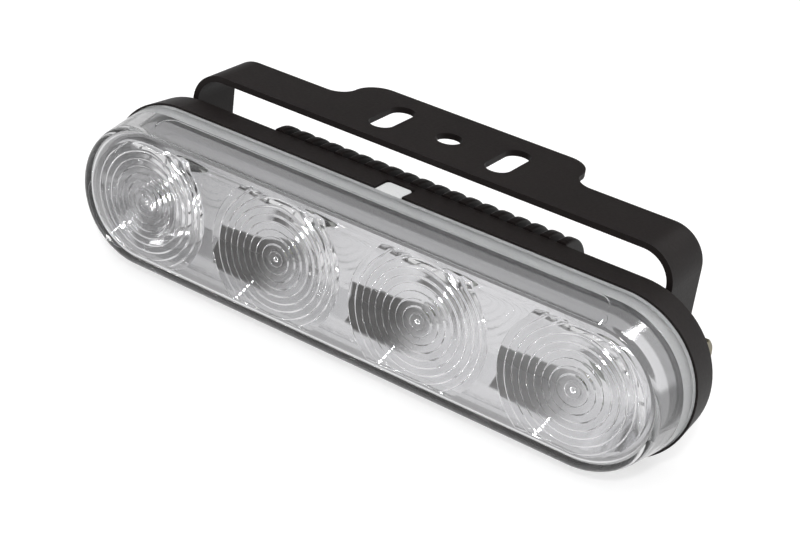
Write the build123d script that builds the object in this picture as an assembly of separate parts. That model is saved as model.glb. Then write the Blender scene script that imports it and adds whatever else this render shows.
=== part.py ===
"""Daytime running light: a pill-shaped lamp with four ring optics, hung in a folded U bracket.

Working frame while drawing: X along the lamp, Y from front to back, Z up.
Y = 0 is the back of the lens's front wall, and Z = 0 is the lamp's centre line.
Every piece is then moved so that the origin lies in the bracket's centre hole,
on the top face of the bridge plate.
"""
import math
import os

from build123d import *

# Clear lens
LENS_LENGTH = 160.6
LENS_HEIGHT = 39.4
LENS_DEPTH = 15.2
LENS_FRONT_WALL = 3.2
LENS_WALL = 2.6
LENS_DRAFT = 8.5
LENS_EDGE_R = 4.2
LENS_CAVITY_R = 1.2
TONGUE_WIDTH = 1.2
TONGUE_DEPTH = 2.4
TAB_WIDTH = 7.0
TAB_REACH = 5.3
TAB_ROOT = 0.8
TAB_CORNER_R = 1.2
PANEL_END_GAP = 0.1
PANEL_WIDTH = 7.0
PANEL_RECESS = 0.3
PANEL_FROM_SEAT = 7.8

# Ring optics
OPTIC_COUNT = 4
OPTIC_END_SHIFT = 2.1
OPTIC_GAP = 2.8
OPTIC_EDGE = 5.5
OPTIC_PROUD = 2.1
RING_COUNT = 10
DOME_RINGS = 2
DOME_RISE = 0.2
TOOTH_STEP = 0.14
LENS_INDEX = 1.49
RING_POWER = 0.36

# Lens seal
SEAL_THICKNESS = 1.0

# Cast housing
RIM_DEPTH = 8.6
RIM_PROUD = 0.5
RIM_DRAFT = 4.0
RIM_LIP = 1.8
RIM_EDGE_R = 0.6
FLOOR = 2.2
CORE_INSET = 7.2
CORE_DEPTH = 5.4
FIN_COUNT = 19
FIN_THICKNESS = 2.5
FIN_INSET = 0.2
FIN_DEPTH = 11.2
FIN_CORNER_R = 10.0
FIN_EDGE_R = 0.7
FIN_END_GAP = 14.95
EAR_THICKNESS = 8.0
EAR_RADIUS = 7.4

# Reflector tray
REFLECTOR_WALL = 1.2
REFLECTOR_FRONT_GAP = 0.7
TROUGH_LIP = 1.2
TROUGH_SLOPE = 32.0

# LED board and LEDs
BOARD_THICKNESS = 1.6
PAD_THICKNESS = 0.5
LED_BASE_R = 4.0
LED_BASE_HEIGHT = 2.0
LED_CHIP_SIZE = 2.4
LED_CHIP_HEIGHT = 0.5
LED_DOME_R = 2.8
BOARD_SCREW_D = 3.0
BOARD_SCREW_HEAD_D = 5.5
BOARD_SCREW_HEAD_H = 2.0
BOARD_SCREW_LENGTH = 4.5
BOARD_SCREW_EDGE = 3.4

# Cable gland
GLAND_BORE_D = 5.0
GLAND_FLANGE_D = 12.0
GLAND_FLANGE_H = 2.0
GLAND_NOSE_D = 8.4
GLAND_NOSE_L = 8.0
GLAND_NOSE_DRAFT = 4.0
GLAND_NECK_D = 8.0
GLAND_NECK_L = 3.0

# Steel bracket
ARM_INSET = 14.5
BRACKET_SHEET = 1.5
BRACKET_WIDTH = 14.5
BRACKET_BEND_R = 8.3
BRIDGE_GAP = 4.6
BUMP_WIDTH = 63.0
BUMP_REACH = 11.6
BUMP_CORNER_R = 6.5
BUMP_ROOT_R = 5.0
CENTRE_HOLE_D = 6.4
CENTRE_HOLE_FROM_FRONT = 12.6
SLOT_SPACING = 32.1
SLOT_WIDTH = 6.4
SLOT_LENGTH = 14.8
SLOT_FROM_FRONT = 12.6
RIM_TO_BRACKET = 2.7

# Pivot bolts
BOLT_D = 6.0
BOLT_HEAD_AF = 9.0
BOLT_HEAD_H = 4.8
BOLT_REACH = 7.0
BOLT_CHAMFER = 0.5
FLAT_WASHER_D = 12.0
FLAT_WASHER_H = 1.2
SPRING_WASHER_D = 9.6
SPRING_WASHER_H = 1.4
SPRING_WASHER_SPLIT = 1.0
SPRING_WASHER_TURN = 40.0

# Clearances
RUNNING_FIT = 0.05
THREAD_FIT = 0.03
SLIP = 0.3
PIVOT_GAP = 0.1
REFLECTOR_GAP = 0.8
LED_HOLE_GAP = 0.6
BOARD_GAP = 2.4
GLAND_SIDE_GAP = 2.95

# Places and sizes that follow from those above
LENS_STRAIGHT = LENS_LENGTH - LENS_HEIGHT
SEAT_Y = LENS_DEPTH - LENS_FRONT_WALL
TAB_THICKNESS = LENS_WALL - TONGUE_WIDTH - SLIP
OPTIC_SPACING = (LENS_STRAIGHT - 2 * OPTIC_END_SHIFT) / (OPTIC_COUNT - 1)
RING_PITCH = (OPTIC_SPACING - OPTIC_GAP) / 2 / RING_COUNT
OPTIC_HEIGHT = LENS_HEIGHT - 2 * OPTIC_EDGE
OPTIC_X = [(i - (OPTIC_COUNT - 1) / 2) * OPTIC_SPACING for i in range(OPTIC_COUNT)]
GROOVE_INSET = LENS_WALL - TONGUE_WIDTH - SLIP
GROOVE_WIDTH = TONGUE_WIDTH + 2 * SLIP
RIM_WALL = GROOVE_INSET + GROOVE_WIDTH + RIM_LIP - SLIP
RIM_BACK_Y = SEAT_Y + RIM_DEPTH
CAVITY_FLOOR_Y = RIM_BACK_Y - FLOOR
CORE_BACK_Y = RIM_BACK_Y + CORE_DEPTH
BRACKET_SPAN = LENS_LENGTH - 2 * ARM_INSET
BRIDGE_RISE = LENS_HEIGHT / 2 + BRIDGE_GAP + BRACKET_SHEET
BRACKET_FRONT_Y = RIM_BACK_Y + RIM_TO_BRACKET
PIVOT_Y = BRACKET_FRONT_Y + BRACKET_WIDTH / 2
MOUNT_Y = BRACKET_FRONT_Y + CENTRE_HOLE_FROM_FRONT
ARM_OUT_X = BRACKET_SPAN / 2
ARM_IN_X = ARM_OUT_X - BRACKET_SHEET
EAR_FACE_X = ARM_IN_X - PIVOT_GAP
EAR_BACK_X = EAR_FACE_X - EAR_THICKNESS
GLAND_X = GLAND_SIDE_GAP + GLAND_FLANGE_D / 2 - EAR_BACK_X
FIN_FIRST_X = GLAND_X + GLAND_FLANGE_D / 2 + GLAND_SIDE_GAP + FIN_THICKNESS / 2
FIN_LAST_X = EAR_BACK_X - FIN_END_GAP - FIN_THICKNESS / 2
FIN_PITCH = (FIN_LAST_X - FIN_FIRST_X) / (FIN_COUNT - 1)
FIN_X = [FIN_FIRST_X + i * FIN_PITCH for i in range(FIN_COUNT)]
FIN_CROWN = LENS_HEIGHT / 2 + RIM_PROUD - FIN_INSET
CORE_HEIGHT = LENS_HEIGHT - 2 * CORE_INSET
CORE_LENGTH = 2 * EAR_FACE_X - PIVOT_GAP
BOARD_LENGTH = LENS_LENGTH - 2 * (RIM_WALL + BOARD_GAP)
BOARD_HEIGHT = LENS_HEIGHT - 2 * (RIM_WALL + BOARD_GAP)
BOARD_FRONT_Y = CAVITY_FLOOR_Y - PAD_THICKNESS - BOARD_THICKNESS
REFLECTOR_INSET = LENS_WALL + REFLECTOR_GAP
REFLECTOR_FRONT_Y = OPTIC_PROUD + DOME_RISE + REFLECTOR_FRONT_GAP
REFLECTOR_BACK_Y = BOARD_FRONT_Y - BOARD_SCREW_HEAD_H - SLIP
TROUGH_DEPTH = REFLECTOR_BACK_Y - REFLECTOR_WALL - REFLECTOR_FRONT_Y
FOCAL_LENGTH = BOARD_FRONT_Y - LED_BASE_HEIGHT - LED_CHIP_HEIGHT - OPTIC_PROUD
TO_MOUNT = Location((0, -MOUNT_Y, -BRIDGE_RISE))


def facing_front(y):
    """Plane across the lamp at y whose normal looks to the front."""
    return Plane(origin=(0, y, 0), x_dir=(1, 0, 0), z_dir=(0, -1, 0))


def facing_back(y):
    """Plane across the lamp at y whose normal looks to the back."""
    return Plane(origin=(0, y, 0), x_dir=(1, 0, 0), z_dir=(0, 1, 0))


def pill(plane, inset, depth, draft=0.0, length=LENS_LENGTH, height=LENS_HEIGHT):
    """Pill-shaped prism on a plane, inset all round from the given outline."""
    outline = plane * SlotOverall(length - 2 * inset, height - 2 * inset)
    return extrude(outline, amount=depth, taper=draft)


def pill_ring(plane, inset, width, depth):
    """Pill-shaped wall of the given width, its outside inset from the lens outline."""
    return pill(plane, inset, depth) - pill(plane, inset + width, depth)


def rod(x, y, z, radius, length, direction):
    """Round bar from a point along a direction."""
    plane = Plane(origin=(x, y, z), z_dir=direction)
    return extrude(plane * Circle(radius), amount=length)


def save(name, shape):
    """Moves a piece to the mount's frame and writes it."""
    solids = shape.solids()
    if len(solids) != 1:
        raise ValueError(f"{name} has {len(solids)} solids")
    export_step(TO_MOUNT * solids[0], f"parts/{name}.step")


def facet_slope(radius):
    """Slope of a facet that turns a share of the LED's light at this radius to the front."""
    angle = math.atan(radius / FOCAL_LENGTH)
    return RING_POWER * math.sin(angle) / (LENS_INDEX - math.cos(angle))


def ring_optic():
    """One prism-ring optic: a revolved saw-tooth profile, cut straight at top and bottom."""
    dome_radius = DOME_RINGS * RING_PITCH
    outer_radius = RING_COUNT * RING_PITCH
    root = -LENS_FRONT_WALL / 4
    points = []
    for ring in range(DOME_RINGS, RING_COUNT):
        inner = ring * RING_PITCH + TOOTH_STEP
        outer = (ring + 1) * RING_PITCH
        depth = (outer - inner) * facet_slope((inner + outer) / 2)
        points.append((inner, OPTIC_PROUD))
        points.append((outer, OPTIC_PROUD - depth))
    crown = OPTIC_PROUD + DOME_RISE
    sag = dome_radius * facet_slope(dome_radius) / 2
    dome_edge = (dome_radius, crown - sag)
    dome = ThreePointArc((0, crown), (dome_radius / 2, crown - sag / 4), dome_edge)
    rest = Polyline(dome_edge, *points, (outer_radius, root), (0, root), (0, crown))
    profile = make_face(Curve() + [dome, rest])
    disc = revolve(profile, Axis.Y, 360)
    band = Box(3 * outer_radius, 4 * LENS_FRONT_WALL, OPTIC_HEIGHT)
    return disc & band


def make_lens():
    """Clear lens with its ring optics, tongue, locating tab and plain top panel."""
    front = facing_front(SEAT_Y)
    shell = pill(front, 0, LENS_DEPTH, LENS_DRAFT)
    front_edges = shell.faces().sort_by(Axis.Y)[0].edges()
    shell = fillet(front_edges, LENS_EDGE_R)
    cavity = pill(front, LENS_WALL, LENS_DEPTH - LENS_FRONT_WALL, LENS_DRAFT)
    cavity = fillet(cavity.faces().sort_by(Axis.Y)[0].edges(), LENS_CAVITY_R)
    lens = shell - cavity
    for x in OPTIC_X:
        lens += Location((x, 0, 0)) * ring_optic()
    lens += pill_ring(facing_back(SEAT_Y), LENS_WALL - TONGUE_WIDTH, TONGUE_WIDTH, TONGUE_DEPTH)
    tab_length = TAB_REACH + TAB_ROOT
    tab = Box(TAB_WIDTH, tab_length, TAB_THICKNESS, align=(Align.CENTER, Align.MAX, Align.MAX))
    tab = fillet(tab.edges().filter_by(Axis.Z).group_by(Axis.Y)[-1], TAB_CORNER_R)
    lens += Location((0, SEAT_Y + TAB_REACH, LENS_HEIGHT / 2)) * tab
    slope = math.radians(LENS_DRAFT)
    panel_z = LENS_HEIGHT / 2 - PANEL_FROM_SEAT * math.tan(slope)
    panel = Plane(
        origin=(0, SEAT_Y - PANEL_FROM_SEAT, panel_z),
        x_dir=(1, 0, 0),
        z_dir=(0, -math.sin(slope), math.cos(slope)),
    )
    panel_length = LENS_STRAIGHT - 2 * PANEL_END_GAP
    lens -= extrude(panel * SlotOverall(panel_length, PANEL_WIDTH), amount=PANEL_RECESS, both=True)
    return lens


def make_seal():
    """Bead between the tongue's end and the bottom of the rim's groove."""
    return pill_ring(
        facing_back(SEAT_Y + TONGUE_DEPTH), LENS_WALL - TONGUE_WIDTH, TONGUE_WIDTH, SEAL_THICKNESS
    )


def make_fin():
    """Cooling fin: rounded towards the back, rooted in the floor, with rounded edges."""
    front = RIM_BACK_Y
    back = front + FIN_DEPTH
    turn = back - FIN_CORNER_R
    low = FIN_CROWN - FIN_CORNER_R
    root = LENS_HEIGHT / 2 - RIM_WALL
    foot = Polyline(
        (turn, -FIN_CROWN),
        (front, -FIN_CROWN),
        (front, -root),
        (front - FLOOR, -root),
        (front - FLOOR, root),
        (front, root),
        (front, FIN_CROWN),
        (turn, FIN_CROWN),
    )
    top = CenterArc((turn, low), FIN_CORNER_R, 90, -90)
    bottom = CenterArc((turn, -low), FIN_CORNER_R, 0, -90)
    tail = Line((back, low), (back, -low))
    outline = Plane.YZ * make_face(Curve() + [foot, top, tail, bottom])
    fin = extrude(outline, amount=FIN_THICKNESS / 2, both=True)
    side_edges = [e for e in fin.edges() if abs(e.center().X) > FIN_THICKNESS / 4]
    return fillet([e for e in side_edges if e.center().Y > front + SLIP], FIN_EDGE_R)


def ear(side):
    """Pivot ear at one end of the casting's back."""
    plane = Plane(origin=(side * EAR_BACK_X, 0, 0), x_dir=(0, 1, 0), z_dir=(side, 0, 0))
    reach = PIVOT_Y - CAVITY_FLOOR_Y
    shape = Pos(CAVITY_FLOOR_Y + reach / 2, 0) * Rectangle(reach, 2 * EAR_RADIUS)
    shape += Pos(PIVOT_Y, 0) * Circle(EAR_RADIUS)
    return extrude(plane * shape, amount=EAR_THICKNESS)


def make_housing():
    """Cast housing: lens rim, floor, core, cooling fins and the two pivot ears."""
    back = facing_back(SEAT_Y)
    rim = pill(back, -RIM_PROUD, RIM_DEPTH, RIM_DRAFT)
    rim = fillet(rim.faces().sort_by(Axis.Y)[-1].edges(), RIM_EDGE_R)
    core = pill(facing_back(CAVITY_FLOOR_Y), 0, FLOOR + CORE_DEPTH, 0, CORE_LENGTH, CORE_HEIGHT)
    housing = rim + core
    fin = make_fin()
    housing += [Location((x, 0, 0)) * fin for x in FIN_X]
    housing += [ear(side) for side in (-1, 1)]
    housing -= pill(back, RIM_WALL, RIM_DEPTH - FLOOR)
    housing -= pill_ring(back, GROOVE_INSET, GROOVE_WIDTH, TONGUE_DEPTH + SEAL_THICKNESS)
    notch_floor = LENS_HEIGHT / 2 - TAB_THICKNESS - SLIP
    notch = Box(
        TAB_WIDTH + 2 * SLIP,
        TAB_REACH + SLIP,
        LENS_HEIGHT / 4,
        align=(Align.CENTER, Align.MIN, Align.MIN),
    )
    housing -= Location((0, SEAT_Y, notch_floor)) * notch
    for side in (-1, 1):
        housing -= rod(side * EAR_BACK_X, PIVOT_Y, 0, BOLT_D / 2 + THREAD_FIT, EAR_THICKNESS, (side, 0, 0))
    for x, z in board_screw_places():
        housing -= rod(x, CAVITY_FLOOR_Y, z, BOARD_SCREW_D / 2 + THREAD_FIT, BOARD_SCREW_LENGTH, (0, 1, 0))
    housing -= rod(GLAND_X, CAVITY_FLOOR_Y, 0, GLAND_NECK_D / 2 + THREAD_FIT, FLOOR + CORE_DEPTH, (0, 1, 0))
    return housing


def make_reflector():
    """Metallised tray: a sloped trough behind the optics and a skirt that stands on the rim."""
    front_y = REFLECTOR_FRONT_Y
    depth = SEAT_Y - front_y
    seat = facing_front(SEAT_Y)
    skirt = pill(seat, REFLECTOR_INSET, depth, LENS_DRAFT)
    skirt -= pill(seat, REFLECTOR_INSET + REFLECTOR_WALL, depth - REFLECTOR_WALL, LENS_DRAFT)
    face = facing_back(front_y)
    mouth = REFLECTOR_INSET + depth * math.tan(math.radians(LENS_DRAFT)) + TROUGH_LIP
    wall = REFLECTOR_WALL / math.cos(math.radians(TROUGH_SLOPE))
    outer = pill(face, mouth - wall, TROUGH_DEPTH + REFLECTOR_WALL, TROUGH_SLOPE)
    outer &= pill(face, mouth - TROUGH_LIP, TROUGH_DEPTH + REFLECTOR_WALL)
    inner = pill(face, mouth, TROUGH_DEPTH, TROUGH_SLOPE)
    tray = skirt + outer - inner
    for x in OPTIC_X:
        tray -= rod(x, front_y, 0, LED_BASE_R + LED_HOLE_GAP, 2 * TROUGH_DEPTH, (0, 1, 0))
    return tray


def board_screw_places():
    """Centres of the four board screws, midway between the outer pairs of optics."""
    middle = (OPTIC_X[0] + OPTIC_X[1]) / 2
    row = BOARD_HEIGHT / 2 - BOARD_SCREW_EDGE
    return [(sx * middle, sz * row) for sx in (-1, 1) for sz in (-1, 1)]


def make_board():
    """Metal-core board with its screw holes."""
    board = pill(facing_back(BOARD_FRONT_Y), 0, BOARD_THICKNESS, 0, BOARD_LENGTH, BOARD_HEIGHT)
    for x, z in board_screw_places():
        board -= rod(x, BOARD_FRONT_Y, z, BOARD_SCREW_D / 2 + SLIP, BOARD_THICKNESS, (0, 1, 0))
    board -= rod(GLAND_X, BOARD_FRONT_Y, 0, GLAND_NECK_D / 2, BOARD_THICKNESS, (0, 1, 0))
    return board


def make_pad():
    """Heat-conducting pad under the board."""
    y = BOARD_FRONT_Y + BOARD_THICKNESS
    pad = pill(facing_back(y), 0, PAD_THICKNESS, 0, BOARD_LENGTH, BOARD_HEIGHT)
    for x, z in board_screw_places():
        pad -= rod(x, y, z, BOARD_SCREW_D / 2 + SLIP, PAD_THICKNESS, (0, 1, 0))
    pad -= rod(GLAND_X, y, 0, GLAND_NECK_D / 2, PAD_THICKNESS, (0, 1, 0))
    return pad


def make_board_screw(x, z):
    """Pan-head screw through the board into the casting."""
    head = rod(x, BOARD_FRONT_Y, z, BOARD_SCREW_HEAD_D / 2, BOARD_SCREW_HEAD_H, (0, -1, 0))
    head = fillet(head.faces().sort_by(Axis.Y)[0].edges(), BOARD_SCREW_HEAD_H / 3)
    reach = BOARD_THICKNESS + PAD_THICKNESS + BOARD_SCREW_LENGTH - SLIP
    return head + rod(x, BOARD_FRONT_Y, z, BOARD_SCREW_D / 2, reach, (0, 1, 0))


def make_led(x):
    """Package, phosphor chip and clear dome of one LED."""
    base = rod(x, BOARD_FRONT_Y, 0, LED_BASE_R, LED_BASE_HEIGHT, (0, -1, 0))
    top_y = BOARD_FRONT_Y - LED_BASE_HEIGHT
    chip = Box(LED_CHIP_SIZE, LED_CHIP_HEIGHT, LED_CHIP_SIZE)
    chip = Location((x, top_y - LED_CHIP_HEIGHT / 2, 0)) * chip
    arc = CenterArc((0, 0), LED_DOME_R, 0, 90)
    quarter = make_face(Curve() + [arc, Polyline((0, LED_DOME_R), (0, 0), (LED_DOME_R, 0))])
    dome = Location((x, top_y, 0), (0, 0, 180)) * revolve(quarter, Axis.Y, 360)
    return base, chip, dome - chip


def make_gland():
    """Rubber gland with the cord's bore, pressed into the casting's back."""
    neck = rod(GLAND_X, CORE_BACK_Y, 0, GLAND_NECK_D / 2, GLAND_NECK_L, (0, -1, 0))
    flange = rod(GLAND_X, CORE_BACK_Y, 0, GLAND_FLANGE_D / 2, GLAND_FLANGE_H, (0, 1, 0))
    nose_plane = Plane(origin=(GLAND_X, CORE_BACK_Y + GLAND_FLANGE_H, 0), z_dir=(0, 1, 0))
    nose = extrude(nose_plane * Circle(GLAND_NOSE_D / 2), amount=GLAND_NOSE_L, taper=GLAND_NOSE_DRAFT)
    bore_length = GLAND_NECK_L + GLAND_FLANGE_H + GLAND_NOSE_L
    bore = rod(GLAND_X, CORE_BACK_Y - GLAND_NECK_L, 0, GLAND_BORE_D / 2, bore_length, (0, 1, 0))
    return neck + flange + nose - bore


def make_bracket():
    """Folded steel U: bridge plate with its bump-out, slots and hole, and two round-ended arms."""
    arm_end = BRACKET_WIDTH / 2
    rise = BRIDGE_RISE + arm_end
    middle_z = BRIDGE_RISE - rise / 2
    plane = Plane(origin=(0, BRACKET_FRONT_Y, 0), x_dir=(1, 0, 0), z_dir=(0, 1, 0))
    outside = plane * (Pos(0, -middle_z) * Rectangle(BRACKET_SPAN, rise))
    outside = fillet(outside.vertices().group_by(Axis.Z)[-1], BRACKET_BEND_R)
    opening = plane * (Pos(0, BRACKET_SHEET - middle_z) * Rectangle(2 * ARM_IN_X, rise))
    opening = fillet(opening.vertices().group_by(Axis.Z)[-1], BRACKET_BEND_R - BRACKET_SHEET)
    strap = extrude(outside - opening, amount=BRACKET_WIDTH)
    keep = Box(BRACKET_SPAN, BRACKET_WIDTH, 2 * BRIDGE_RISE, align=(Align.CENTER, Align.CENTER, Align.MIN))
    keep = Location((0, PIVOT_Y, 0)) * keep
    keep += rod(-ARM_OUT_X, PIVOT_Y, 0, arm_end, BRACKET_SPAN, (1, 0, 0))
    strap = strap & keep
    flat = Plane.XY.offset(BRIDGE_RISE - BRACKET_SHEET)
    back_y = BRACKET_FRONT_Y + BRACKET_WIDTH
    straight = BRACKET_SPAN - 2 * BRACKET_BEND_R
    plan = Pos(0, PIVOT_Y) * Rectangle(straight, BRACKET_WIDTH)
    plan += Pos(0, back_y + BUMP_REACH / 2) * Rectangle(BUMP_WIDTH, BUMP_REACH)
    on_back = [v for v in plan.vertices() if abs(v.Y - back_y) < 0.01]
    roots = [v for v in on_back if abs(abs(v.X) - BUMP_WIDTH / 2) < 0.01]
    plan = fillet(roots, BUMP_ROOT_R)
    corners = plan.vertices().group_by(Axis.Y)[-1]
    plan = fillet(corners, BUMP_CORNER_R)
    plan -= Pos(0, MOUNT_Y) * Circle(CENTRE_HOLE_D / 2)
    slot = Rot(0, 0, 90) * SlotOverall(SLOT_LENGTH, SLOT_WIDTH)
    for side in (-1, 1):
        plan -= Pos(side * SLOT_SPACING / 2, BRACKET_FRONT_Y + SLOT_FROM_FRONT) * slot
    window = Pos(0, PIVOT_Y) * Rectangle(straight, BRACKET_WIDTH)
    strap -= extrude(flat * window, amount=BRACKET_SHEET)
    bracket = strap + extrude(flat * plan, amount=BRACKET_SHEET)
    bracket -= rod(-ARM_OUT_X, PIVOT_Y, 0, BOLT_D / 2 + RUNNING_FIT, BRACKET_SPAN, (1, 0, 0))
    return bracket


def make_pivot_set(side):
    """Bolt, spring washer and flat washer of one pivot, side -1 or 1."""
    x = side * (ARM_OUT_X + PIVOT_GAP)
    out = (side, 0, 0)
    hole = BOLT_D / 2 + RUNNING_FIT
    flat = rod(x, PIVOT_Y, 0, FLAT_WASHER_D / 2, FLAT_WASHER_H, out)
    flat -= rod(x, PIVOT_Y, 0, hole, FLAT_WASHER_H, out)
    x += side * FLAT_WASHER_H
    spring = rod(x, PIVOT_Y, 0, SPRING_WASHER_D / 2, SPRING_WASHER_H, out)
    spring -= rod(x, PIVOT_Y, 0, hole, SPRING_WASHER_H, out)
    split = Box(
        2 * SPRING_WASHER_H,
        SPRING_WASHER_D,
        SPRING_WASHER_SPLIT,
        align=(Align.CENTER, Align.MIN, Align.CENTER),
    )
    middle = x + side * SPRING_WASHER_H / 2
    spring -= Location((middle, PIVOT_Y, 0), (-SPRING_WASHER_TURN * side, 0, 0)) * split
    x += side * SPRING_WASHER_H
    plane = Plane(origin=(x, PIVOT_Y, 0), x_dir=(0, 1, 0), z_dir=out)
    head = extrude(plane * RegularPolygon(BOLT_HEAD_AF / 2, 6, major_radius=False), amount=BOLT_HEAD_H)
    crown = rod(x, PIVOT_Y, 0, BOLT_HEAD_AF / 2 + BOLT_CHAMFER, BOLT_HEAD_H, out)
    crown = chamfer(crown.faces().sort_by(Axis.X)[-1 if side > 0 else 0].edges(), BOLT_CHAMFER)
    head = head & crown
    shank_length = abs(x) - EAR_FACE_X + BOLT_REACH
    bolt = head + rod(x, PIVOT_Y, 0, BOLT_D / 2, shank_length, (-side, 0, 0))
    return bolt, spring, flat


os.makedirs("parts", exist_ok=True)
save("outer_lens", make_lens())
save("lens_seal", make_seal())
save("housing", make_housing())
save("reflector", make_reflector())
save("led_board", make_board())
save("thermal_pad", make_pad())
for number, (screw_x, screw_z) in enumerate(board_screw_places(), start=1):
    save(f"board_screw_{number}", make_board_screw(screw_x, screw_z))
for number, led_x in enumerate(OPTIC_X, start=1):
    led_base, led_chip, led_dome = make_led(led_x)
    save(f"led_{number}_base", led_base)
    save(f"led_{number}_chip", led_chip)
    save(f"led_{number}_dome", led_dome)
save("cable_gland", make_gland())
save("bracket", make_bracket())
for side_name, side_sign in (("left", -1), ("right", 1)):
    pivot_bolt, spring_washer, flat_washer = make_pivot_set(side_sign)
    save(f"pivot_bolt_{side_name}", pivot_bolt)
    save(f"spring_washer_{side_name}", spring_washer)
    save(f"flat_washer_{side_name}", flat_washer)
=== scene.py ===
"""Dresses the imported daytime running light: clear lens, bright reflector, black casting and bracket."""
import math

import bmesh
import bpy
from bpy.props import FloatProperty, FloatVectorProperty, IntProperty, PointerProperty
from mathutils import Matrix, Vector


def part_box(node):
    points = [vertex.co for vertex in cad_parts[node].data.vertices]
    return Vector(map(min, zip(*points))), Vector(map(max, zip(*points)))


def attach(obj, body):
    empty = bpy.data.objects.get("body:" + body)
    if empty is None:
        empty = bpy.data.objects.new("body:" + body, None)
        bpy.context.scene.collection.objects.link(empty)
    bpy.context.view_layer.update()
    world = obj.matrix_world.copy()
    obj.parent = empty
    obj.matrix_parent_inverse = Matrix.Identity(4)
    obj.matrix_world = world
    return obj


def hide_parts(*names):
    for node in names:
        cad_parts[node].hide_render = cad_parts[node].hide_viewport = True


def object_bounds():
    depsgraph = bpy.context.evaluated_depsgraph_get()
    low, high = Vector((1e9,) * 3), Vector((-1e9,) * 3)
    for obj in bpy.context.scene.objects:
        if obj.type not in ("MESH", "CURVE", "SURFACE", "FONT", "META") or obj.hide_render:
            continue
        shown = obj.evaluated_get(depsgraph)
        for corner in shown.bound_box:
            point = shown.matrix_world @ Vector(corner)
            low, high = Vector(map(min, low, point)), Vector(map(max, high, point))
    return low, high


bl_info = {
    "name": "Daytime running light",
    "version": (1, 0, 0),
    "blender": (4, 5, 0),
    "location": "View3D > Sidebar > Running light",
    "description": "Builds the clear lens and the finishes of a daytime running light on its packed frame",
    "category": "Object",
}

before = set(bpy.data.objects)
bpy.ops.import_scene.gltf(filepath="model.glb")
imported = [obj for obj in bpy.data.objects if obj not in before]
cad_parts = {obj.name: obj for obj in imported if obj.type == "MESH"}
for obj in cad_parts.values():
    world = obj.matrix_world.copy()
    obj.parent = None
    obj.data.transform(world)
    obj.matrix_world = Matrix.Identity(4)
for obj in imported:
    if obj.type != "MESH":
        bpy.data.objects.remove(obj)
CAD_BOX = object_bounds()
LENS_LOW, LENS_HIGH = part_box("outer_lens")
MM = 0.001
LENS_AXIS_Z = (LENS_LOW.z + LENS_HIGH.z) / 2
LENS_SEAT_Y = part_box("housing")[0].y
# Outline of the lens in millimetres.
LENS_RADIUS = (LENS_HIGH.z - LENS_LOW.z) / MM / 2
LENS_HALF_RUN = (LENS_HIGH.x - LENS_LOW.x) / MM / 2 - LENS_RADIUS
OPTIC_COUNT = 4
CORNER_STEPS = 10
BEAD_STEPS = 4
BEAD_HEIGHT = 0.6
DOME_STEPS = 8
TOOTH_STEPS = 3
SCREW_COUNT = 4
# Where the casting is bare, in metres from the lamp's middle line and behind the seat.
BARE_REACH = (0.0172, 0.0168)
BARE_DEPTH = (0.0072, 0.0066)


class Wire:
    """A shader socket that takes part in Python arithmetic."""

    def __init__(self, board, socket):
        self.board = board
        self.socket = socket

    def math(self, operation, *values):
        """Math node on values and wires."""
        return self.board.add("ShaderNodeMath", {"operation": operation}, dict(enumerate(values)))

    def __add__(self, other):
        return self.math("ADD", self, other)

    def __sub__(self, other):
        return self.math("SUBTRACT", self, other)

    def __rsub__(self, other):
        return self.math("SUBTRACT", other, self)

    def __mul__(self, other):
        return self.math("MULTIPLY", self, other)

    __radd__ = __add__
    __rmul__ = __mul__

    def __neg__(self):
        return self.math("MULTIPLY", self, -1.0)

    def __abs__(self):
        return self.math("ABSOLUTE", self)

    def smooth(self, low, high):
        """0 below low, 1 above high, eased between; falls instead where low is above high."""
        sockets = {"Value": self, "From Min": low, "From Max": high}
        return self.board.add("ShaderNodeMapRange", {"interpolation_type": "SMOOTHSTEP"}, sockets)

    def between(self, low, high, ease):
        """1 from low to high, with eased ends."""
        return self.smooth(low - ease, low + ease) * self.smooth(high + ease, high - ease)

    def beside(self, *names):
        """Other outputs of the same node."""
        return [Wire(self.board, self.socket.node.outputs[name]) for name in names]


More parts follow.
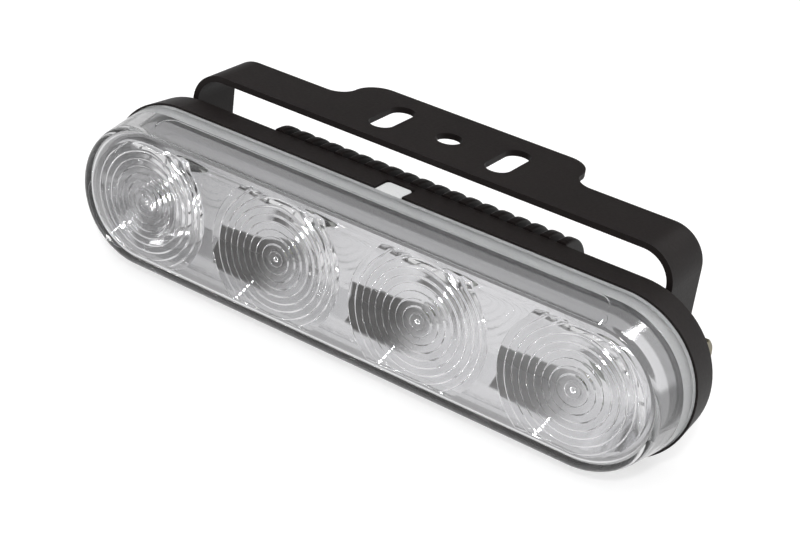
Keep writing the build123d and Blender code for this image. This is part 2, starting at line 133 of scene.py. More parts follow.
class Board:
    """A node tree that is filled by adding nodes."""

    def __init__(self, tree):
        self.tree = tree
        tree.nodes.clear()

    def add(self, kind, settings=None, sockets=None, output=0):
        """Adds a node, sets it, feeds its sockets and returns one of its outputs, if it has any."""
        node = self.tree.nodes.new(kind)
        for name, value in (settings or {}).items():
            setattr(node, name, value)
        for name, value in (sockets or {}).items():
            if isinstance(value, Wire):
                self.tree.links.new(value.socket, node.inputs[name])
            else:
                node.inputs[name].default_value = value
        return Wire(self, node.outputs[output]) if node.outputs else None

    def end(self, kind, surface):
        """Closes the tree with its output node."""
        self.add(kind, sockets={"Surface": surface})

    def coat(self, sockets):
        """Closes a material with one Principled shader."""
        self.end("ShaderNodeOutputMaterial", self.add("ShaderNodeBsdfPrincipled", sockets=sockets))

    def place(self, kind="Object"):
        """Position on the part in metres, or direction in the world, as a vector and as x, y and z."""
        coords = self.add("ShaderNodeTexCoord", output=kind)
        return coords, self.add("ShaderNodeSeparateXYZ", sockets={"Vector": coords}).beside(*"XYZ")

    def noise(self, coords, scale, detail=2.0, stretch=(1.0, 1.0, 1.0)):
        """Noise from 0 to 1 whose grain is stretched along the axes."""
        scaled = self.add("ShaderNodeVectorMath", {"operation": "MULTIPLY"}, {0: coords, 1: stretch})
        return self.add("ShaderNodeTexNoise", sockets={"Vector": scaled, "Scale": scale, "Detail": detail})

    def tone(self, factor, low, high):
        """Colour that goes with the factor from low, which may be wired, to high."""
        start = low if isinstance(low, Wire) else (*low, 1.0)
        return self.add("ShaderNodeMix", {"data_type": "RGBA"}, {0: factor, 6: start, 7: (*high, 1.0)}, 2)

    def bump(self, height, strength, distance):
        """Normal from a height field."""
        sockets = {"Height": height, "Strength": strength, "Distance": distance}
        return self.add("ShaderNodeBump", sockets=sockets)


def new_finish(name):
    """A new material and the board for its nodes."""
    material = bpy.data.materials.new(name)
    material.use_nodes = True
    return material, Board(material.node_tree)


def shaded(colour, share):
    """A colour made darker, or lighter where the share is above 1."""
    return [part * share for part in colour]


def dress(material, *names):
    """Gives CAD nodes a material."""
    for name in names:
        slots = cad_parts[name].data.materials
        slots.clear()
        slots.append(material)


def pill_reach(x, z):
    """Distance from the line that runs along the middle of the lamp."""
    past = x.math("MAXIMUM", abs(x) - LENS_HALF_RUN * MM, 0.0)
    up = z - LENS_AXIS_Z
    return x.math("SQRT", past * past + up * up)


def black_coat(name, colour, roughness, bare=None):
    """Satin black coat with fine orange peel and a few paler specks; bare metal inside the lamp if given."""
    material, board = new_finish(name)
    coords, (x, y, z) = board.place()
    peel = board.noise(coords, scale=1400.0)
    cloud = board.noise(coords, scale=60.0, detail=3.0)
    speck = board.noise(coords, scale=2600.0, detail=1.0).smooth(0.74, 0.8)
    base = board.tone(cloud, shaded(colour, 0.8), shaded(colour, 1.25))
    base = board.tone(speck * 0.5, base, (0.05, 0.047, 0.043))
    sockets = {
        "Roughness": peel * 0.12 + cloud * 0.08 + (roughness - 0.1),
        "Specular IOR Level": 0.2,
        "Normal": board.bump(peel, strength=0.12, distance=0.00012),
    }
    if bare:
        depth = y.smooth(*(LENS_SEAT_Y + limit for limit in BARE_DEPTH))
        inside = pill_reach(x, z).smooth(*BARE_REACH) * depth
        base = board.tone(inside, base, bare)
        sockets["Metallic"] = inside
    board.coat({"Base Color": base, **sockets})
    return material


def closed(points):
    """Pairs of neighbours round a closed line."""
    return list(zip(points, points[1:] + points[:1]))


def shade_by_angle(mesh, degrees):
    """Smooth faces with edges kept sharp above an angle."""
    work = bmesh.new()
    work.from_mesh(mesh)
    limit = math.radians(degrees)
    for face in work.faces:
        face.smooth = True
    for edge in work.edges:
        edge.smooth = len(edge.link_faces) == 2 and edge.calc_face_angle(0.0) < limit
    work.to_mesh(mesh)
    work.free()


def rounded(points, radius, steps):
    """Open line whose inner corners are replaced by arcs."""
    line = [points[0]]
    for before, corner, after in zip(points, points[1:], points[2:]):
        a = (Vector(before) - Vector(corner)).normalized()
        b = (Vector(after) - Vector(corner)).normalized()
        half = a.angle(b) / 2
        reach = radius / math.tan(half)
        centre = Vector(corner) + (a + b).normalized() * (radius / math.sin(half))
        start = Vector(corner) + a * reach - centre
        stop = Vector(corner) + b * reach - centre
        for i in range(steps + 1):
            line.append(tuple(centre + start.slerp(stop, i / steps) * radius))
    line.append(points[-1])
    return line


class LensSizes(bpy.types.PropertyGroup):
    """Sizes of the clear lens, in millimetres where they are lengths."""

    wall: FloatProperty(name="Wall", description="Wall thickness at the seat, mm", default=2.6)
    front_wall: FloatProperty(name="Front wall", description="Thickness of the front, mm", default=3.2)
    draft: FloatProperty(
        name="Draft", description="Slope of the side walls", default=math.radians(8.5), subtype="ANGLE"
    )
    edge_radius: FloatProperty(name="Edge radius", description="Radius of the front edge, mm", default=4.2)
    cavity_radius: FloatProperty(name="Inner radius", description="Radius inside the front, mm", default=1.2)
    tongue: FloatProperty(
        name="Tongue", description="Width of the tongue in the rim's groove, mm", default=1.2
    )
    tongue_depth: FloatProperty(name="Tongue depth", description="Length of the tongue, mm", default=2.3)
    seat_gap: FloatProperty(name="Seat gap", description="Air gap between lens and rim, mm", default=0.12)
    frost: FloatProperty(
        name="Frosted band", description="Frosted wall in front of the seat, mm", default=2.4
    )
    tab_width: FloatProperty(name="Tab width", description="Width of the locating tab, mm", default=7.0)
    tab_thickness: FloatProperty(name="Tab thickness", description="Thickness of the tab, mm", default=1.1)
    tab_reach: FloatProperty(
        name="Tab reach", description="Length of the tab behind the seat, mm", default=5.3
    )
    tab_corner: FloatProperty(name="Tab corner", description="Radius of the tab's corners, mm", default=1.2)
    panel_length: FloatProperty(
        name="Panel length", description="Length of the plain top panel, mm", default=121.0
    )
    panel_width: FloatProperty(
        name="Panel width", description="Width of the plain top panel, mm", default=7.0
    )
    panel_recess: FloatProperty(name="Panel recess", description="Depth of the panel, mm", default=0.2)
    panel_place: FloatProperty(name="Panel place", description="Seat to the panel's middle, mm", default=7.8)
    optic_spacing: FloatProperty(
        name="Optic spacing", description="Between the optics' centres, mm", default=39.0
    )
    optic_half_height: FloatProperty(
        name="Optic half height", description="Centre to the straight cut, mm", default=14.2
    )
    top_cut: FloatProperty(
        name="Top cut", description="How much lower the optics end at the top, mm", default=0.3
    )
    bead: FloatProperty(
        name="Centre bead", description="Radius of the bead in the optic's centre, mm", default=0.6
    )
    optic_proud: FloatProperty(name="Optic proud", description="Height of the prism rings, mm", default=0.9)
    dome_rise: FloatProperty(
        name="Dome rise", description="Height of the centre above the rings, mm", default=0.2
    )
    ring_pitch: FloatProperty(name="Ring pitch", description="Radial width of a prism ring, mm", default=1.81)
    ring_count: IntProperty(name="Rings", description="Prism rings to the optic's edge", default=10)
    dome_rings: IntProperty(name="Dome rings", description="Rings that the centre dome takes up", default=1)
    tooth_step: FloatProperty(
        name="Tooth step", description="Radial width of a ring's steep side, mm", default=0.14
    )
    tooth_round: FloatProperty(
        name="Tooth rounding", description="Radius of crests and valleys, mm", default=0.25
    )
    focal_length: FloatProperty(
        name="LED distance", description="From the rings to the LED, mm", default=11.7
    )
    power: FloatProperty(
        name="Ring power", description="Share of the full turn given to the light", default=0.36
    )
    index: FloatProperty(name="Refractive index", description="Of the clear plastic", default=1.49)
    arc_steps: IntProperty(name="Arc steps", description="Facets round each end of the lens", default=48)
    end_cuts: IntProperty(name="End cuts", description="Flats of the optics' edge round each end", default=36)
    turn_steps: IntProperty(name="Turn steps", description="Facets round a ring optic", default=160)


class FinishColours(bpy.types.PropertyGroup):
    """Colours of the part's finishes."""

    lens_tint: FloatVectorProperty(
        name="Lens tint", description="Clear plastic", default=(0.978, 0.977, 0.986), subtype="COLOR"
    )
    tab_white: FloatVectorProperty(
        name="Tab white", description="Frosted plastic of the tab", default=(0.9, 0.91, 0.91), subtype="COLOR"
    )
    chrome: FloatVectorProperty(
        name="Reflector", description="Metallised plastic", default=(0.9, 0.9, 0.905), subtype="COLOR"
    )
    # Painted dark reflection: a dark colour on the reflector between the LEDs, for the dark bands seen
    # through the lens.
    window: FloatVectorProperty(
        name="Windows", description="Bare plastic between the LEDs",
        default=(0.08, 0.075, 0.071), subtype="COLOR",
    )
    casting: FloatVectorProperty(
        name="Casting", description="Black coat of the housing",
        default=(0.0125, 0.0097, 0.0093), subtype="COLOR",
    )
    bare_metal: FloatVectorProperty(
        name="Bare metal", description="Uncoated casting inside the lamp",
        default=(0.72, 0.72, 0.73), subtype="COLOR",
    )
    bracket: FloatVectorProperty(
        name="Bracket", description="Black coat of the bracket",
        default=(0.0125, 0.0097, 0.0093), subtype="COLOR",
    )
    fastener: FloatVectorProperty(
        name="Fasteners", description="Passivated zinc plate", default=(0.3, 0.27, 0.19), subtype="COLOR"
    )
    phosphor: FloatVectorProperty(
        name="Phosphor", description="LED chip", default=(0.85, 0.75, 0.12), subtype="COLOR"
    )


class StageSizes(bpy.types.PropertyGroup):
    """Camera and studio."""

    focal_pixels: FloatProperty(
        name="Focal length", description="In pixels of an 800 wide picture", default=1797.595
    )
    key_power: FloatProperty(
        name="Key light", description="Power of the small lamp", default=2.0, unit="POWER"
    )
    floor_grey: FloatProperty(name="Floor", description="Grey of the floor", default=0.6)


def lens_profile(sizes):
    """Lens wall as (inset, depth) pairs in mm, from the front flat round the outside to the inner flat."""
    seat = (LENS_SEAT_Y - LENS_LOW.y) / MM - sizes.front_wall
    slope = math.tan(sizes.draft)
    lean = Vector((math.cos(sizes.draft), math.sin(sizes.draft)))

    def corner(first_inset, radius, face):
        """Arc between a sloped wall and a flat front, from the flat to the wall."""
        middle_depth = face + radius
        middle = Vector((first_inset + (seat - middle_depth) * slope + radius / lean.x, middle_depth))
        flat = Vector((0.0, -radius))
        wall = -lean * radius
        return [middle + flat.slerp(wall, i / CORNER_STEPS) * radius for i in range(CORNER_STEPS + 1)]

    outside = corner(0.0, sizes.edge_radius, -sizes.front_wall)
    inside = corner(sizes.wall, sizes.cavity_radius, 0.0)
    back = seat - sizes.seat_gap
    end = seat + sizes.tongue_depth
    tongue_out = sizes.wall - sizes.tongue
    seat_line = [(0.0, back), (tongue_out, back), (tongue_out, end), (sizes.wall, end), (sizes.wall, seat)]
    seat_line.append((sizes.wall + sizes.frost * slope, seat - sizes.frost))
    return [tuple(p) for p in outside], seat_line, [tuple(p) for p in reversed(inside)], seat


def optic_line(sizes):
    """Half section of a ring optic as (radius, depth) pairs in mm, from its centre to its edge."""

    def slope(radius):
        angle = math.atan(radius / sizes.focal_length)
        return sizes.power * math.sin(angle) / (sizes.index - math.cos(angle))

    crown = sizes.optic_proud + sizes.dome_rise
    dome_radius = sizes.dome_rings * sizes.ring_pitch
    sag = dome_radius * slope(dome_radius) / 2
    teeth = [(dome_radius, crown - sag)]
    for ring in range(sizes.dome_rings, sizes.ring_count):
        inner = ring * sizes.ring_pitch + sizes.tooth_step
        outer = (ring + 1) * sizes.ring_pitch
        teeth.append((inner, sizes.optic_proud))
        teeth.append((outer, sizes.optic_proud - (outer - inner) * slope((inner + outer) / 2)))
    turns = [math.pi / 2 * i / BEAD_STEPS for i in range(BEAD_STEPS + 1)]
    rise = sizes.bead * BEAD_HEIGHT
    dome = [(sizes.bead * math.sin(turn), crown + rise * math.cos(turn)) for turn in turns]
    first = math.ceil(sizes.bead / dome_radius * DOME_STEPS)
    for i in range(first, DOME_STEPS):
        dome.append((dome_radius * i / DOME_STEPS, crown - sag * (i / DOME_STEPS) ** 2))
    return dome + rounded([dome[-1]] + teeth, sizes.tooth_round, TOOTH_STEPS)[1:]


class LampOperator:
    """Shared by the operators: where the settings are kept."""

    bl_options = {"REGISTER", "UNDO"}

    @property
    def sizes(self):
        return bpy.context.scene.lamp_lens

    @property
    def colours(self):
        return bpy.context.scene.lamp_colours


class LAMP_OT_lens(LampOperator, bpy.types.Operator):
    """Builds the clear lens: pill-shaped shell, ring optics, tongue, tab and plain panel"""

    bl_idname = "lamp.lens"
    bl_label = "Clear lens"

    # Lengths in millimetres, angles in degrees; the tab's edge is a list of drops and insets.
    front_margin = 0.4
    # Etched seat only along the top and the right end: partly real etching, partly painted light, as the
    # white band follows the lit sides; below and at the left the seat stays clear.
    lit_frost_lean = 0.15
    lit_frost_start = 1.0
    panel_steps = 16
    panel_chamfer = 0.15
    tab_overlap = 0.02
    tab_steps = 6
    tab_edge = ((0.2, 0.0), (0.06, 0.06), (0.0, 0.2))
    sharp_angle = 24.0
    even_weight = 80

    def ring(self, work, inset, depth):
        """Pill-shaped ring of vertices; the top and bottom runs are straight."""
        sizes = self.sizes
        radius = LENS_RADIUS - inset
        verts = []
        for side in (1, -1):
            for i in range(sizes.arc_steps + 1):
                turn = side * (math.pi / 2 - math.pi * i / sizes.arc_steps)
                x = side * LENS_HALF_RUN + side * radius * math.cos(turn)
                verts.append(work.verts.new((x, depth, radius * math.sin(turn))))
        return verts

    def bridge(self, work, first, second, skip=(), frosted=False):
        """Quads between two rings of the same count; the seat is frosted white along the top and the right
        end only, a band of painted light on the lit sides.
        """
        count = len(first)
        for i in range(count):
            if i not in skip:
                j = (i + 1) % count
                face = work.faces.new((first[i], first[j], second[j], second[i]))
                place = first[i].co.x * self.lit_frost_lean + first[i].co.z
                face.material_index = int(frosted and place > self.lit_frost_start)

    def optic(self, work, middle):
        """Adds one ring optic and returns the edges of its foot on the front wall."""
        sizes = self.sizes
        part = bmesh.new()
        line = optic_line(sizes)
        centre = part.verts.new((0, line[0][1], 0))
        rows = []
        for radius, depth in line[1:]:
            row = []
            for i in range(sizes.turn_steps):
                turn = 2 * math.pi * i / sizes.turn_steps
                row.append(part.verts.new((radius * math.cos(turn), depth, radius * math.sin(turn))))
            rows.append(row)
        for i in range(sizes.turn_steps):
            part.faces.new((centre, rows[0][i - 1], rows[0][i]))
        for first, second in zip(rows, rows[1:]):
            self.bridge(part, first, second)
        for i in range(sizes.end_cuts + 1):
            turn = math.pi * i / sizes.end_cuts
            for side in (1, -1):
                out = Vector((side * math.sin(turn), 0, math.cos(turn)))
                end = Vector((math.copysign(LENS_HALF_RUN, out.x) - middle, 0, 0))
                bmesh.ops.bisect_plane(
                    part,
                    geom=part.verts[:] + part.edges[:] + part.faces[:],
                    dist=1e-5,
                    plane_co=end + out * (sizes.optic_half_height - sizes.top_cut * max(out.z, 0.0)),
                    plane_no=out,
                    clear_outer=True,
                )
        rim = [e for e in part.edges if e.is_boundary]
        grown = bmesh.ops.extrude_edge_only(part, edges=rim)["geom"]
        for vert in grown:
            if isinstance(vert, bmesh.types.BMVert):
                vert.co.y = 0.0
        places = {v: work.verts.new((v.co.x + middle, v.co.y, v.co.z)) for v in part.verts}
        for face in part.faces:
            work.faces.new([places[v] for v in face.verts])
        part.free()
        return [e for v in places.values() for e in v.link_edges if e.is_boundary]

    def panel(self, work, front, back, seat):
        """Fills the top run between two rings with a plain recessed panel."""
        sizes = self.sizes
        last = sizes.arc_steps * 2 + 1
        corners = [front[0], front[last], back[last], back[0]]
        lean = Vector((0, -math.sin(sizes.draft), math.cos(sizes.draft)))
        along = Vector((0, math.cos(sizes.draft), math.sin(sizes.draft)))
        height = LENS_RADIUS - sizes.panel_place * math.tan(sizes.draft)
        middle = Vector((0, seat - sizes.panel_place, height))
        radius = sizes.panel_width / 2
        half = sizes.panel_length / 2 - radius

        def outline(inset, drop):
            points = []
            for side in (1, -1):
                for i in range(self.panel_steps + 1):
                    turn = math.pi / 2 - math.pi * i / self.panel_steps
                    x = side * (half + (radius - inset) * math.cos(turn))
                    rise = along * (side * (radius - inset) * math.sin(turn))
                    points.append(work.verts.new(middle + Vector((x, 0, 0)) + rise - lean * drop))
            return points

        edge = outline(0.0, 0.0)
        lip = outline(self.panel_chamfer, sizes.panel_recess)
        self.bridge(work, edge, lip)
        work.faces.new(lip)
        loop = [work.edges.get(pair) or work.edges.new(pair) for pair in closed(corners)]
        loop += [work.edges.get(pair) for pair in closed(edge)]
        bmesh.ops.triangle_fill(work, use_beauty=True, edges=loop)

    def tab(self, work, seat):
        """Locating tab behind the seat, with rounded corners."""
        sizes = self.sizes
        half = sizes.tab_width / 2
        front = seat - sizes.seat_gap + self.tab_overlap
        back = seat + sizes.tab_reach
        plan = [(-half, front), (-half, back), (half, back), (half, front)]
        plan = rounded(plan, sizes.tab_corner, self.tab_steps)
        loops = []
        for drop, inset in ((sizes.tab_thickness, 0.0), *self.tab_edge):
            scale = 1 - inset / half
            z = LENS_RADIUS - drop
            loops.append([work.verts.new((x * scale, min(y, back - inset), z)) for x, y in plan])
        faces = []
        for first, second in zip(loops, loops[1:]):
            count = len(first)
            for i in range(count):
                j = (i + 1) % count
                faces.append(work.faces.new((first[i], first[j], second[j], second[i])))
        faces.append(work.faces.new(loops[0]))
        faces.append(work.faces.new(loops[-1]))
        for face in faces:
            face.material_index = 1
        return faces

    def execute(self, context):
        sizes = self.sizes
        work = bmesh.new()
        outside, seat_line, inside, seat = lens_profile(sizes)
        rings = [self.ring(work, inset, depth) for inset, depth in outside + seat_line + inside]
        wall_front = len(outside) - 1
        top_run = 2 * sizes.arc_steps + 1
        for i, (first, second) in enumerate(zip(rings, rings[1:])):
            frosted = wall_front < i < wall_front + len(seat_line)
            self.bridge(work, first, second, (top_run,) if i == wall_front else (), frosted)
        self.panel(work, rings[wall_front], rings[wall_front + 1], seat)
        rim = self.ring(work, outside[0][0] + self.front_margin, outside[0][1])
        self.bridge(work, rim, rings[0])
        work.faces.new(rim)
        foot = [work.edges.get(pair) for pair in closed(rings[-1])]
        for i in range(OPTIC_COUNT):
            foot += self.optic(work, (i - (OPTIC_COUNT - 1) / 2) * sizes.optic_spacing)
        bmesh.ops.triangle_fill(work, use_beauty=True, edges=list(dict.fromkeys(foot)))
        bmesh.ops.recalc_face_normals(work, faces=work.faces[:])
        bmesh.ops.recalc_face_normals(work, faces=self.tab(work, seat))
        to_row = Matrix.Translation((0, LENS_SEAT_Y - seat * MM, LENS_AXIS_Z)) @ Matrix.Scale(MM, 4)
        bmesh.ops.transform(work, matrix=to_row, verts=work.verts[:])
        holes = sum(1 for e in work.edges if not e.is_manifold)
        if holes:
            raise RuntimeError(f"the lens has {holes} open edges")
        mesh = bpy.data.meshes.new("clear_lens")
        work.to_mesh(mesh)
        work.free()
        shade_by_angle(mesh, self.sharp_angle)
        lens = bpy.data.objects.new("clear_lens", mesh)
        context.scene.collection.objects.link(lens)
        smooth = lens.modifiers.new("even_normals", "WEIGHTED_NORMAL")
        smooth.keep_sharp = True
        smooth.weight = self.even_weight
        mesh.materials.append(self.clear_plastic())
        mesh.materials.append(self.frosted_plastic())
        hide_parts("outer_lens")
        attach(lens, "lamp")
        return {"FINISHED"}

    def clear_plastic(self):
        """Clear moulded plastic with faint flow streaks along the lamp."""
        material, board = new_finish("clear_plastic")
        coords, _ = board.place()
        streak = board.noise(coords, scale=60.0, stretch=(0.25, 4.0, 4.0))
        haze = board.noise(coords, scale=900.0)
        board.coat({
            "Base Color": (*self.colours.lens_tint, 1.0),
            "Roughness": haze.smooth(0.62, 0.8) * 0.02 + 0.004,
            "IOR": self.sizes.index,
            "Transmission Weight": 1.0,
            "Normal": board.bump(streak, strength=0.05, distance=0.0002),
        })
        return material

    def frosted_plastic(self):
        """Etched white plastic of the tab, and of the seat along the top and the right end, where the white
        seat is partly etching and partly painted light on the lit sides.
        """
        material, board = new_finish("frosted_plastic")
        coords, _ = board.place()
        grain = board.noise(coords, scale=1800.0, detail=3.0)
        board.coat({
            "Base Color": board.tone(grain, shaded(self.colours.tab_white, 0.93), self.colours.tab_white),
            "Roughness": grain * 0.15 + 0.22,
            "Normal": board.bump(grain, strength=0.1, distance=0.0001),
        })
        return material


class LAMP_OT_reflector(LampOperator, bpy.types.Operator):
    """Gives the reflector tray its bright metallised finish, with painted dark reflections between the LEDs
    and painted shade towards the left end, round the skirt and on the front lip
    """

    bl_idname = "lamp.reflector"
    bl_label = "Reflector"

    # In metres: depths are from the seat of the lens, heights from its axis.
    # Painted dark reflection between the LEDs, placed by the entries below.
    dark_reflection_lead = 0.003
    dark_reflection_start = (0.0, 0.0006)
    dark_reflection_end = (0.0225, 0.01)
    dark_reflection_height = (-0.0116, -0.0046)
    dark_reflection_run = (-0.063, 0.067)
    paler_run = (0.01, 0.05)
    # Painted shade in a band round the skirt near the front.
    shaded_skirt_reach = (0.0146, 0.0149)
    shaded_skirt_depth = (-0.006, -0.0027)
    # Painted shade on the front lip of the chrome, strongest at the top.
    shaded_lip_depth = (-0.0088, -0.00895)
    shaded_lip_height = (-0.004, 0.004)
    # Painted shade: the chrome gets darker towards the left end along this run.
    left_shade_run = (-0.09, 0.02)

    def execute(self, context):
        material, board = new_finish("metallised_plastic")
        coords, (x, y, z) = board.place()
        wave = board.noise(coords, scale=45.0)
        haze = board.noise(coords, scale=220.0, detail=3.0)
        up, depth = z - LENS_AXIS_Z, y - LENS_SEAT_Y
        # Painted dark reflection between the LEDs, a little paler towards the right end.
        along = x.math("FLOORED_MODULO", x + self.dark_reflection_lead, self.sizes.optic_spacing * MM)
        window = along.smooth(*self.dark_reflection_start) * along.smooth(*self.dark_reflection_end)
        window = window * (1 - x.smooth(*self.paler_run) * 0.25)
        window = window * up.between(*self.dark_reflection_height, ease=0.0003)
        window = window * x.between(*self.dark_reflection_run, ease=0.003)
        # Painted shade: a darker band round the skirt near the front.
        shaded_band = pill_reach(x, z).smooth(*self.shaded_skirt_reach) * depth.between(*self.shaded_skirt_depth, ease=0.0005)
        # Painted shade: the chrome gets darker towards the left end, and in the band round the skirt.
        shaded_chrome = shaded(self.colours.chrome, 0.5)
        bright = board.tone(x.smooth(*self.left_shade_run), shaded_chrome, self.colours.chrome)
        bright = board.tone(shaded_band, bright, shaded_chrome)
        # Painted shade: the chrome's front lip is darker, most at the top.
        lip = depth.smooth(*self.shaded_lip_depth) * (up.smooth(*self.shaded_lip_height) * 0.7 + 0.3)
        bright = board.tone(lip, bright, shaded(self.colours.chrome, 0.3))
        board.coat({
            "Base Color": board.tone(window, bright, self.colours.window),
            "Metallic": 1 - window,
            "Roughness": haze * 0.05 + window * 0.3 + 0.08,
            "Normal": board.bump(wave, strength=0.04, distance=0.0006),
        })
        dress(material, "reflector")
        return {"FINISHED"}


class LAMP_OT_leds(LampOperator, bpy.types.Operator):
    """Finishes the LEDs, their board, pad, screws and the lens seal"""

    bl_idname = "lamp.leds"
    bl_label = "LEDs and board"

    def execute(self, context):
        leds = range(1, OPTIC_COUNT + 1)
        package = self.plain("led_package", (0.78, 0.8, 0.74), roughness=0.4, scale=1200.0)
        dress(package, *(f"led_{i}_base" for i in leds))
        dress(self.phosphor(), *(f"led_{i}_chip" for i in leds))
        dress(self.silicone(), *(f"led_{i}_dome" for i in leds))
        dress(self.plain("white_mask", (0.8, 0.81, 0.8), roughness=0.35, scale=300.0), "led_board")
        dress(self.plain("heat_pad", (0.42, 0.43, 0.45), roughness=0.75, scale=700.0), "thermal_pad")
        dress(self.plain("dark_seal", (0.05, 0.05, 0.052), roughness=0.6, scale=500.0), "lens_seal")
        plate = self.plain("screw_plate", (0.55, 0.55, 0.56), roughness=0.3, scale=900.0, metallic=1.0)
        dress(plate, *(f"board_screw_{i}" for i in range(1, SCREW_COUNT + 1)))
        return {"FINISHED"}

    def plain(self, name, colour, roughness, scale, metallic=0.0):
        """Finish with a fine, even grain."""
        material, board = new_finish(name)
        coords, _ = board.place()
        grain = board.noise(coords, scale, detail=3.0)
        board.coat({
            "Base Color": board.tone(grain, shaded(colour, 0.85), colour),
            "Metallic": metallic,
            "Roughness": grain * 0.2 + (roughness - 0.1),
            "Normal": board.bump(grain, strength=0.15, distance=0.0001),
        })
        return material

    def phosphor(self):
        """Yellow phosphor layer, grainy at close range."""
        material, board = new_finish("led_phosphor")
        coords, _ = board.place()
        grain = board.noise(coords, scale=4000.0)
        yellow = self.colours.phosphor
        board.coat({
            "Base Color": board.tone(grain, shaded(yellow, 0.8), yellow),
            "Roughness": grain * 0.2 + 0.4,
        })
        return material

    def silicone(self):
        """Clear dome over the chip."""
        material, board = new_finish("led_silicone")
        coords, _ = board.place()
        haze = board.noise(coords, scale=1500.0)
        board.coat({
            "Base Color": (0.97, 0.97, 0.93, 1.0),
            "Roughness": haze * 0.02 + 0.01,
            "IOR": 1.41,
            "Transmission Weight": 1.0,
        })
        return material


class LAMP_OT_casting(LampOperator, bpy.types.Operator):
    """Gives the cast housing its black coat and the gland its rubber"""

    bl_idname = "lamp.casting"
    bl_label = "Casting and gland"

    def execute(self, context):
        coat = black_coat("casting_coat", self.colours.casting, roughness=0.46, bare=self.colours.bare_metal)
        dress(coat, "housing")
        dress(self.rubber(), "cable_gland")
        return {"FINISHED"}

    def rubber(self):
        """Dull black rubber with a dusty bloom."""
        material, board = new_finish("gland_rubber")
        coords, _ = board.place()
        dust = board.noise(coords, scale=400.0, detail=4.0)
        board.coat({
            "Base Color": board.tone(dust, (0.012, 0.012, 0.012), (0.03, 0.03, 0.029)),
            "Roughness": dust * 0.2 + 0.6,
            "Normal": board.bump(dust, strength=0.1, distance=0.0001),
        })
        return material


class LAMP_OT_bracket(LampOperator, bpy.types.Operator):
    """Gives the folded bracket its black coat"""

    bl_idname = "lamp.bracket"
    bl_label = "Bracket"

    def execute(self, context):
        dress(black_coat("bracket_coat", self.colours.bracket, roughness=0.5), "bracket")
        return {"FINISHED"}


class LAMP_OT_fasteners(LampOperator, bpy.types.Operator):
    """Gives the pivot bolts and washers their passivated zinc plate"""

    bl_idname = "lamp.fasteners"
    bl_label = "Pivot bolts and washers"

    def execute(self, context):
        material, board = new_finish("passivated_zinc")
        coords, _ = board.place()
        cloud = board.noise(coords, scale=500.0, detail=3.0)
        brush = board.noise(coords, scale=1500.0, stretch=(0.2, 1.0, 1.0))
        colour = self.colours.fastener
        board.coat({
            "Base Color": board.tone(cloud, shaded(colour, 0.7), shaded(colour, 1.2)),
            "Metallic": 1.0,
            "Roughness": cloud * 0.2 + 0.28,
            "Normal": board.bump(brush, strength=0.1, distance=0.0001),
        })
        for kind in ("pivot_bolt", "spring_washer", "flat_washer"):
            dress(material, *(f"{kind}_{side}" for side in ("left", "right")))
        return {"FINISHED"}


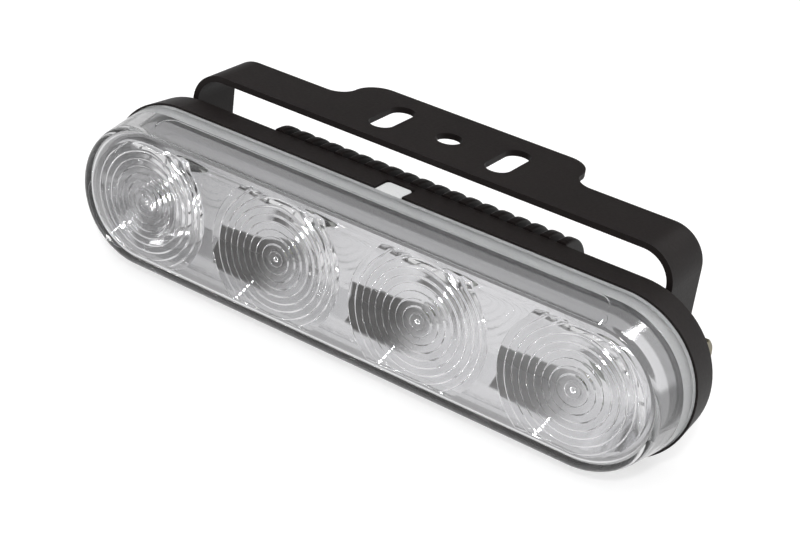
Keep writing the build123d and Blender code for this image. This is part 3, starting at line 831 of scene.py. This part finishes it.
class LAMP_OT_stage(LampOperator, bpy.types.Operator):
    """Sets up the pale floor, the soft studio and the camera"""

    bl_idname = "lamp.stage"
    bl_label = "Stage"

    # The picture's size and centre are in pixels, places in metres; a way is a direction from the lamp.
    picture = (800, 533)
    picture_centre = (346.933, 288.601)
    sensor = 36
    camera_right = (0.8068, 0.5815, 0.1048)
    camera_up = (-0.3561, 0.3369, 0.8716)
    camera_ahead = (-0.4715, 0.7405, -0.4788)
    camera_place = (0.18897, -0.33267, 0.16609)
    floor_half = 2.0
    floor_gap = 0.0001
    softbox_way = (0.33, -0.67, 0.665)
    softbox_power = 40.0
    rear_way = (0.2, 0.52, 0.83)
    rear_power = 40.0
    strip_way = (0.27, -0.756, 0.596)
    strip_across = (-0.826, 0.136, 0.547)
    strip_edge = (-0.002, -0.014)
    strip_bend = 0.1
    strip_power = 300.0
    tent_power = 0.8
    tent_seen = 0.2

    def execute(self, context):
        self.camera(context)
        self.floor(context)
        self.studio(context)
        self.key(context)
        context.scene.view_settings.view_transform = "Standard"
        context.scene.cycles.max_bounces = 20
        context.scene.cycles.glossy_bounces = 16
        context.scene.cycles.transmission_bounces = 16
        context.scene.cycles.sample_clamp_indirect = 40.0
        return {"FINISHED"}

    def camera(self, context):
        """Camera at the photograph's viewing angle."""
        stage = context.scene.lamp_stage
        width, height = self.picture
        across, down = self.picture_centre
        data = bpy.data.cameras.new("camera")
        data.sensor_width = self.sensor
        data.lens = stage.focal_pixels * self.sensor / width
        data.shift_x = (width / 2 - across) / width
        data.shift_y = (down - height / 2) / width
        data.clip_start = 0.01
        camera = bpy.data.objects.new("camera", data)
        axes = (Vector(self.camera_right), Vector(self.camera_up), -Vector(self.camera_ahead))
        turn = Matrix(axes).transposed().to_4x4()
        turn.translation = Vector(self.camera_place)
        camera.matrix_world = turn
        context.scene.collection.objects.link(camera)
        context.scene.camera = camera

    def floor(self, context):
        """Pale floor that is white to the camera and keeps the shadow."""
        mesh = bpy.data.meshes.new("floor")
        size = self.floor_half
        level = CAD_BOX[0][2] - self.floor_gap
        corners = [(-size, -size, level), (size, -size, level), (size, size, level), (-size, size, level)]
        mesh.from_pydata(corners, [], [(0, 1, 2, 3)])
        floor = bpy.data.objects.new("floor", mesh)
        context.scene.collection.objects.link(floor)
        material, board = new_finish("pale_floor")
        grey = context.scene.lamp_stage.floor_grey
        seen = board.add("ShaderNodeLightPath", output="Is Camera Ray")
        diffuse = board.add("ShaderNodeBsdfDiffuse", sockets={"Color": (grey, grey, grey, 1.0)})
        glow = board.add("ShaderNodeEmission", sockets={"Color": (grey, grey, grey, 1.0), "Strength": seen})
        board.end("ShaderNodeOutputMaterial", board.add("ShaderNodeAddShader", sockets={0: diffuse, 1: glow}))
        mesh.materials.append(material)
        floor.visible_glossy = False
        floor.visible_transmission = False

    def studio(self, context):
        """White studio whose darker parts and lamps show only in reflections and through clear plastic."""
        world = bpy.data.worlds.new("studio")
        context.scene.world = world
        world.use_nodes = True
        board = Board(world.node_tree)
        _, (x, y, z) = board.place("Generated")
        side = x.math("ARCTAN2", x, -y)
        height = z.math("ARCSINE", z)
        rad = math.radians

        def toward(way):
            """Cosine of the angle to a direction."""
            return x * way[0] + y * way[1] + z * way[2]

        def spot(way, outer, inner):
            """Round lamp in a direction, with an eased edge between two angles in degrees."""
            return toward(way).smooth(math.cos(rad(outer)), math.cos(rad(inner)))

        low_front = side.between(rad(-26), rad(25), rad(3)) * height.between(rad(-48), rad(-21), rad(3))
        left_wall = side.between(rad(-130), rad(-96), rad(8)) * height.between(rad(-5), rad(45), rad(8))
        behind = abs(side - rad(15)).smooth(rad(140), rad(160)) * height.between(rad(4), rad(75), rad(8))
        softbox = spot(self.softbox_way, 7, 6)
        rear = spot(self.rear_way, 6.5, 5)
        strip = spot(self.strip_way, 35, 33)
        strip = strip * (abs(toward(self.strip_across)) - z * self.strip_bend).smooth(*self.strip_edge)
        glossy = board.add("ShaderNodeLightPath", output="Is Glossy Ray")
        through, spread, walls, camera = glossy.beside(
            "Is Transmission Ray", "Diffuse Depth", "Transmission Depth", "Is Camera Ray"
        )
        seen = glossy.math("MAXIMUM", glossy, through)
        below = y.smooth(0.05, 0.2) * z.smooth(-0.05, -0.2) * through
        tent = (1 - below * 0.55) * (1 - low_front * 0.15) * (1 - left_wall * 0.5)
        tent = tent * (1 - behind * (0.85 - through * 0.45))
        strip = strip * walls.smooth(2.9, 2.1)
        inner = (softbox * self.softbox_power + strip * self.strip_power) * through
        lamps = (inner + rear * self.rear_power) * spread.smooth(0.9, 0.1)
        light = (1 - seen * (1 - tent - lamps)) * self.tent_power + camera * self.tent_seen
        light = board.add("ShaderNodeBackground", sockets={"Color": (1, 1, 1, 1), "Strength": light})
        board.end("ShaderNodeOutputWorld", light)

    def key(self, context):
        """Small lamp that draws the highlights."""
        data = bpy.data.lights.new("key", "AREA")
        data.size = 0.08
        data.energy = context.scene.lamp_stage.key_power
        key = bpy.data.objects.new("key", data)
        context.scene.collection.objects.link(key)
        key.location = (0.3, -0.6, 0.6)
        key.rotation_mode = "QUATERNION"
        key.rotation_quaternion = (-key.location).to_track_quat("-Z", "Y")


class LAMP_PT_panel(bpy.types.Panel):
    """Lists the lamp's settings and operators"""

    bl_idname = "LAMP_PT_panel"
    bl_label = "Running light"
    bl_space_type = "VIEW_3D"
    bl_region_type = "UI"
    bl_category = "Running light"

    def draw(self, context):
        layout = self.layout
        for operator in OPERATORS:
            layout.operator(operator.bl_idname)
        for group in (context.scene.lamp_lens, context.scene.lamp_colours, context.scene.lamp_stage):
            box = layout.box()
            for name in group.__annotations__:
                box.prop(group, name)


OPERATORS = (
    LAMP_OT_lens,
    LAMP_OT_reflector,
    LAMP_OT_leds,
    LAMP_OT_casting,
    LAMP_OT_bracket,
    LAMP_OT_fasteners,
    LAMP_OT_stage,
)
CLASSES = (LensSizes, FinishColours, StageSizes, *OPERATORS, LAMP_PT_panel)


def register():
    for cls in CLASSES:
        bpy.utils.register_class(cls)
    bpy.types.Scene.lamp_lens = PointerProperty(type=LensSizes)
    bpy.types.Scene.lamp_colours = PointerProperty(type=FinishColours)
    bpy.types.Scene.lamp_stage = PointerProperty(type=StageSizes)


def unregister():
    del bpy.types.Scene.lamp_stage
    del bpy.types.Scene.lamp_colours
    del bpy.types.Scene.lamp_lens
    for cls in reversed(CLASSES):
        bpy.utils.unregister_class(cls)


def main():
    register()
    bpy.ops.lamp.stage()
    bpy.ops.lamp.lens()
    bpy.ops.lamp.reflector()
    bpy.ops.lamp.leds()
    bpy.ops.lamp.casting()
    bpy.ops.lamp.bracket()
    bpy.ops.lamp.fasteners()


if __name__ == "__main__":
    main()
